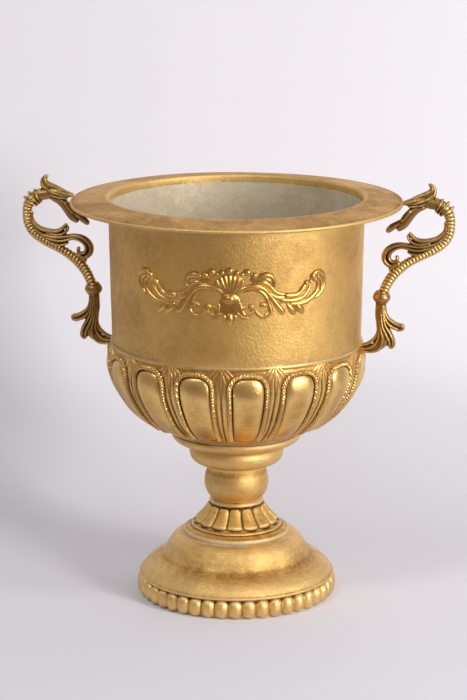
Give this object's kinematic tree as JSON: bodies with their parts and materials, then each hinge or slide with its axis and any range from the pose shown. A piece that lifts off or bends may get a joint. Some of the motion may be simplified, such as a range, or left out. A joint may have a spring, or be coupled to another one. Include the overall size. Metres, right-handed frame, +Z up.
{
  "type": "two-handled footed urn",
  "caption": "Footed urn with a drooping flanged rim, gadrooned bowl, knopped stem, beaded foot and dragon handles; an open vessel.",
  "frame": {"origin": "centre of the foot's underside, on the surface it stands on", "axes": "+Z up the urn's axis, -Y towards the front garland, +X towards the right handle"},
  "size_m": [0.4024, 0.307, 0.3957],
  "materials": {
    "spun_brass": "satin spun brass with a brown bloom and brighter rubbed edges",
    "chased_brass": "chased brass, rubbed bright on the gadroons and dark in the hollows",
    "pressed_brass": "pressed brass relief with bright ridges and dark ground",
    "cast_brass": "cast brass, antique dark in the ribs",
    "screw_brass": "dull turned brass",
    "turned_brass": "satin turned brass with fine lathe rings",
    "foot_brass": "satin brass with fine scratches and pale polish left in the seams",
    "tinned_brass": "worn grey tinning over brass",
    "raw_brass": "unpolished brown brass",
    "steel": "dull oxidised steel"
  },
  "bodies": {
    "root": {"rim_flange": "spun_brass", "cup_wall": "spun_brass", "gadroon_bowl": "chased_brass", "garland_front": "pressed_brass", "garland_back": "pressed_brass", "handle_left": "cast_brass", "handle_right": "cast_brass", "handle_screws": "screw_brass", "dish_ring": "turned_brass", "step_ring": "turned_brass", "knop": "turned_brass", "fluted_neck": "foot_brass", "foot_dome": "foot_brass", "bead_band": "foot_brass", "tie_rod": "steel", "rod_washer": "tinned_brass", "rod_nut": "steel", "foot_bar": "raw_brass", "foot_washer": "steel", "foot_nut": "steel"}
  },
  "joints": []
}
